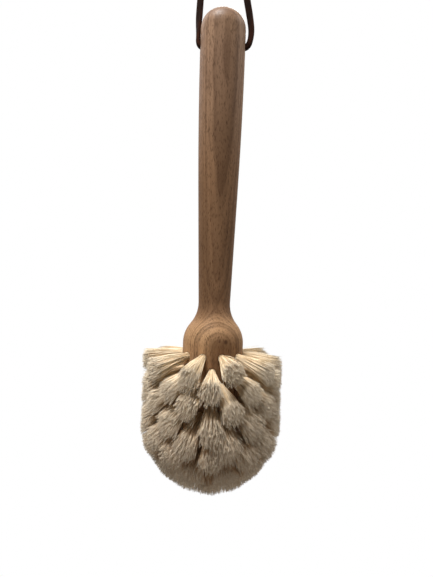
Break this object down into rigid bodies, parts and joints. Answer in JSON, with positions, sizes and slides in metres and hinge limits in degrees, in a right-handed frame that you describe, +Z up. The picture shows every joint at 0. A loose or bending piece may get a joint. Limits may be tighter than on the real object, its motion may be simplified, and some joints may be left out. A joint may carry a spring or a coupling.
{
  "type": "dish brush",
  "caption": "Dish brush with a turned wooden handle, a round-ended head of cream bristle tufts and a leather loop to hang it by.",
  "frame": {"origin": "the point inside the top of the hanging loop where a hook bears, on the handle's axis", "axes": "+Z up along the handle's axis, +X along the cross bore to the right of the picture, +Y away from the viewer"},
  "size_m": [0.0736, 0.0732, 0.3403],
  "materials": {
    "wood": "oiled, satin, fine straight grain with dark flecks",
    "bristle": "dull, fine cream fibres",
    "leather": "matt, dark brown, reddish where worn",
    "anchor_metal": "plain galvanised strip"
  },
  "bodies": {
    "hanging_loop": {"thong_in_bore": "leather", "thong_left_leg": "leather", "thong_right_leg": "leather", "thong_knot": "leather", "thong_left_tail": "leather", "thong_right_tail": "leather"},
    "brush": {"handle": "wood", "tufts_ring_1": "bristle", "tufts_ring_2": "bristle", "tufts_ring_3": "bristle", "tufts_ring_4": "bristle", "tufts_ring_5": "bristle", "tufts_ring_6": "bristle", "tufts_ring_7": "bristle", "tufts_ring_8": "bristle", "tuft_tip": "bristle", "anchors_ring_1": "anchor_metal", "anchors_ring_2": "anchor_metal", "anchors_ring_3": "anchor_metal", "anchors_ring_4": "anchor_metal", "anchors_ring_5": "anchor_metal", "anchors_ring_6": "anchor_metal", "anchors_ring_7": "anchor_metal", "anchors_ring_8": "anchor_metal", "anchor_tip": "anchor_metal"}
  },
  "joints": [
    {"name": "brush_swing", "type": "hinge", "parent": "hanging_loop", "child": "brush", "pos_m": [0, 0, -0.083], "axis": [1, 0, 0], "range_deg": [-150, 150]}
  ]
}
